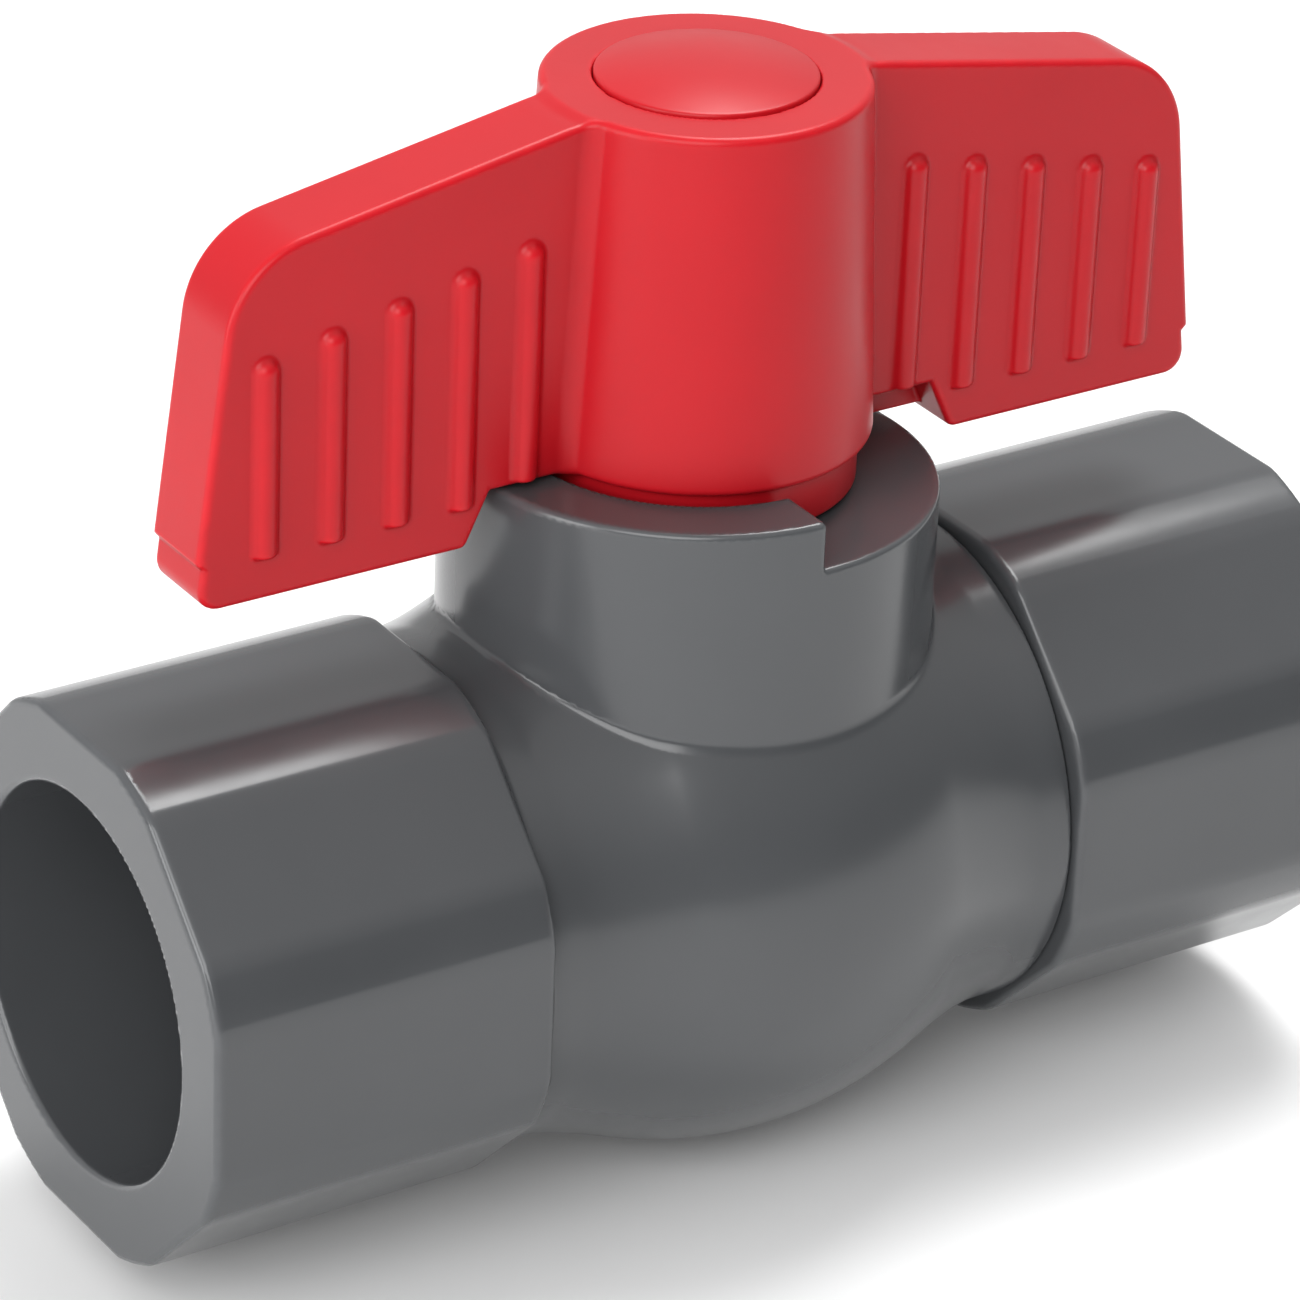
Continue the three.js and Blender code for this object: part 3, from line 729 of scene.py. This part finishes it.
def moulded_plastic(name, colour, roughness, grain=0.04, glow=0.0, sheen=0.5):
    """Injection-moulded plastic: cloudy colour, orange peel, rubbed edges, painted shade in inside
    corners.
    """
    material, shader, place = new_material(name)
    clouds = ramp(material, noise(material, place, 70), 0.15, 0.85, 0.0, 1.0)
    colours = mix_colours(material, clouds, shade(colour, 0.93), shade(colour, 1.07))
    shape = material.node_tree.nodes.new("ShaderNodeAttribute")
    shape.attribute_name = "bend"
    breakup = ramp(material, noise(material, place, 500), 0.35, 0.65, 0.4, 1.0)
    edge = ramp(material, shape.outputs["Fac"], 0.02, 0.1, 0.0, 0.35)
    worn = maths(material, "MULTIPLY", edge, breakup)
    colours = mix_colours(material, worn, colours, shade(colour, 1.5))
    # Painted shade: inside corners, where the bend measure is negative, are darkened towards half the
    # colour.
    corner = ramp(material, shape.outputs["Fac"], -0.12, -0.03, 0.15, 0.0)
    colours = mix_colours(material, corner, colours, shade(colour, 0.5))
    material.node_tree.links.new(colours, shader.inputs["Base Color"])
    patches = ramp(material, noise(material, place, 180), 0.15, 0.85, -0.04, 0.05)
    rough = maths(material, "ADD", patches, roughness)
    rough = maths(material, "ADD", rough, maths(material, "MULTIPLY", worn, 0.1))
    material.node_tree.links.new(rough, shader.inputs["Roughness"])
    peel = noise(material, place, 1300, 2.0)
    flow = maths(material, "MULTIPLY", noise(material, place, 220, 0.0), 2.0)
    bump(material, shader, maths(material, "ADD", peel, flow), 0.00006, grain)
    shader.inputs["IOR"].default_value = 1.53
    shader.inputs["Specular IOR Level"].default_value = sheen
    shader.inputs["Subsurface Weight"].default_value = glow
    shader.inputs["Subsurface Radius"].default_value = (1.0, 0.12, 0.12)
    shader.inputs["Subsurface Scale"].default_value = 0.0015
    return material


def rubber(name, colour):
    """Matt seal rubber with a faint bloom and a fine grain."""
    material, shader, place = new_material(name)
    bloom = ramp(material, noise(material, place, 300), 0.45, 0.75, 0.0, 0.6)
    colours = mix_colours(material, bloom, colour, shade(colour, 2.2))
    material.node_tree.links.new(colours, shader.inputs["Base Color"])
    rough = ramp(material, noise(material, place, 700), 0.3, 0.7, 0.55, 0.75)
    material.node_tree.links.new(rough, shader.inputs["Roughness"])
    bump(material, shader, noise(material, place, 2500, 2.0), 0.00004, 0.2)
    return material


def turned_steel(name, colour):
    """Stainless steel with fine turning marks round the stem axis."""
    material, shader, place = new_material(name)
    split = material.node_tree.nodes.new("ShaderNodeSeparateXYZ")
    material.node_tree.links.new(place, split.inputs["Vector"])
    x, y = split.outputs["X"], split.outputs["Y"]
    x_squared = maths(material, "MULTIPLY", x, x)
    y_squared = maths(material, "MULTIPLY", y, y)
    squares = maths(material, "ADD", x_squared, y_squared)
    radius = maths(material, "SQRT", squares, 0.0)
    marks = maths(material, "SINE", maths(material, "MULTIPLY", radius, 40000.0), 0.0)
    stain = ramp(material, noise(material, place, 400), 0.35, 0.7, 0.0, 1.0)
    colours = mix_colours(material, stain, colour, shade(colour, 0.8))
    material.node_tree.links.new(colours, shader.inputs["Base Color"])
    rough = ramp(material, noise(material, place, 900), 0.3, 0.7, 0.22, 0.38)
    material.node_tree.links.new(rough, shader.inputs["Roughness"])
    shader.inputs["Metallic"].default_value = 1.0
    bump(material, shader, marks, 0.00002, 0.15)
    return material


grey_plastic = moulded_plastic("grey_moulded_plastic", GREY, 0.2)
red_plastic = moulded_plastic("red_moulded_plastic", RED, 0.33, glow=0.15, sheen=0.25)
ball_plastic = moulded_plastic("ball_plastic", GREY, 0.14, 0.02)
seat_plastic = moulded_plastic("seat_plastic", (0.84, 0.83, 0.78), 0.5, 0.08)
seal_rubber = rubber("seal_rubber", (0.012, 0.012, 0.013))
screw_steel = turned_steel("screw_steel", (0.62, 0.62, 0.63))

# ---------------------------------------------------------------- pieces


def fit(piece, node, body, material):
    """Stands the piece for its CAD node, on its body, with its material."""
    piece.data.materials.append(material)
    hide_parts(node)
    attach(piece, body)


body_piece = surface_of("body_shell", main_body, "main_body", 0.3)
connector_piece = surface_of("connector_shell", end_connector, "end_connector", 0.3)
handle_piece = surface_of("handle_grip", handle, "handle", 0.22)
ball_piece = surface_of("bored_ball", ball, "ball", 0.37)
stem_piece = surface_of("drive_stem", stem, "stem", 0.25)
screw_piece = surface_of("cross_screw", handle_screw, "handle_screw", 0.12)
thrust_piece = washer("thrust_disc", "stem_thrust_washer", STEM_BORE_R, 0.12)
washer_piece = washer("screw_disc", "screw_washer", SCREW_SHANK_R + 0.4, 0.2)

fit(body_piece, "main_body", "valve_body", grey_plastic)
fit(connector_piece, "end_connector", "valve_body", grey_plastic)
fit(seat_ring("seat_left", -1), "seat_ring_left", "valve_body", seat_plastic)
fit(seat_ring("seat_right", 1), "seat_ring_right", "valve_body", seat_plastic)
fit(ball_piece, "ball", "ball", ball_plastic)
fit(stem_piece, "stem", "handle_set", ball_plastic)
fit(thrust_piece, "stem_thrust_washer", "handle_set", seat_plastic)
fit(handle_piece, "handle", "handle_set", red_plastic)
fit(screw_piece, "handle_screw", "handle_set", screw_steel)
fit(washer_piece, "screw_washer", "handle_set", screw_steel)
fit(handle_cap(), "handle_cap", "handle_set", red_plastic)

for node in ("seat_oring_left", "seat_oring_right", "body_oring"):
    fit(o_ring(node + "_round", node, "x"), node, "valve_body", seal_rubber)
for node in ("stem_oring_lower", "stem_oring_upper"):
    fit(o_ring(node + "_round", node, "z"), node, "handle_set", seal_rubber)

# ---------------------------------------------------------------- floor, light and camera


def floor():
    mesh = bpy.data.meshes.new("floor")
    half = 3.0
    corners = [(-half, -half, 0), (half, -half, 0), (half, half, 0), (-half, half, 0)]
    mesh.from_pydata(corners, [], [(0, 1, 2, 3)])
    plane = bpy.data.objects.new("floor", mesh)
    bpy.context.scene.collection.objects.link(plane)
    material, shader, _ = new_material("pale_floor")
    shader.inputs["Base Color"].default_value = (0.9, 0.9, 0.9, 1.0)
    shader.inputs["Roughness"].default_value = 0.6
    mesh.materials.append(material)


def softbox(name, place, aim, width, height, power):
    """Rectangular area light at a place, facing the aim point, in metres and watts."""
    light = bpy.data.lights.new(name, "AREA")
    light.shape = "RECTANGLE"
    light.size = width
    light.size_y = height
    light.energy = power
    lamp = bpy.data.objects.new(name, light)
    lamp.location = place
    direction = Vector(aim) - Vector(place)
    lamp.rotation_euler = direction.to_track_quat("-Z", "Y").to_euler()
    bpy.context.scene.collection.objects.link(lamp)


def surroundings(dark, bright):
    """Studio walls, dark low down and in front, brighter overhead and behind."""
    world = bpy.data.worlds.new("studio")
    world.use_nodes = True
    tree = world.node_tree
    split = tree.nodes.new("ShaderNodeSeparateXYZ")
    direction = tree.nodes.new("ShaderNodeTexCoord").outputs["Generated"]
    tree.links.new(direction, split.inputs["Vector"])
    height = maths(world, "MULTIPLY", split.outputs["Z"], 0.75)
    lean = maths(world, "MULTIPLY", split.outputs["Y"], 0.35)
    strength = ramp(world, maths(world, "ADD", height, lean), -0.1, 0.45, dark, bright)
    tree.links.new(strength, tree.nodes["Background"].inputs["Strength"])
    tree.nodes["Background"].inputs["Color"].default_value = (1.0, 1.0, 1.0, 1.0)
    bpy.context.scene.world = world


# The camera looks at the pipe from its front left, from above, with a small roll. Its distance and
# the two shifts across the view are in millimetres.
CAMERA_TURN = math.radians(33.895)
CAMERA_DROP = math.radians(27.414)
CAMERA_ROLL = math.radians(2.426)
CAMERA_DISTANCE = 409.99
CAMERA_RIGHT = -1.955
CAMERA_UP = 10.688
CAMERA_LENS = 176.9


def camera():
    """Long-lens camera at the same place and angle as the reference view."""
    drop_cos = math.cos(CAMERA_DROP)
    forward = Vector((drop_cos * math.sin(CAMERA_TURN), drop_cos * math.cos(CAMERA_TURN), 0))
    forward.z = -math.sin(CAMERA_DROP)
    right = Vector((math.cos(CAMERA_TURN), -math.sin(CAMERA_TURN), 0))
    up = right.cross(forward)
    place = -CAMERA_DISTANCE * forward + CAMERA_RIGHT * right + CAMERA_UP * up
    place = (place + Vector((0, 0, AXIS_Z))) * MM
    rolled_right = right * math.cos(CAMERA_ROLL) + up * math.sin(CAMERA_ROLL)
    rolled_up = up * math.cos(CAMERA_ROLL) - right * math.sin(CAMERA_ROLL)
    turn = Matrix((rolled_right, rolled_up, -forward)).transposed().to_4x4()
    view = bpy.data.cameras.new("view")
    view.lens = CAMERA_LENS
    view.sensor_width = 36
    eye = bpy.data.objects.new("view", view)
    eye.matrix_world = Matrix.Translation(place) @ turn
    bpy.context.scene.collection.objects.link(eye)
    bpy.context.scene.camera = eye


floor()
surroundings(0.04, 0.72)
softbox("top_box", (0.2, 0.14, 0.6), LIGHT_AIM, 0.3, 0.3, 3)
softbox("front_box", (-0.54, -0.54, 0.5), LIGHT_AIM, 0.6, 0.6, 5)
softbox("left_box", (-0.7, -0.05, 0.2), LIGHT_AIM, 0.3, 0.4, 2)
camera()
bpy.context.scene.view_settings.view_transform = "Standard"
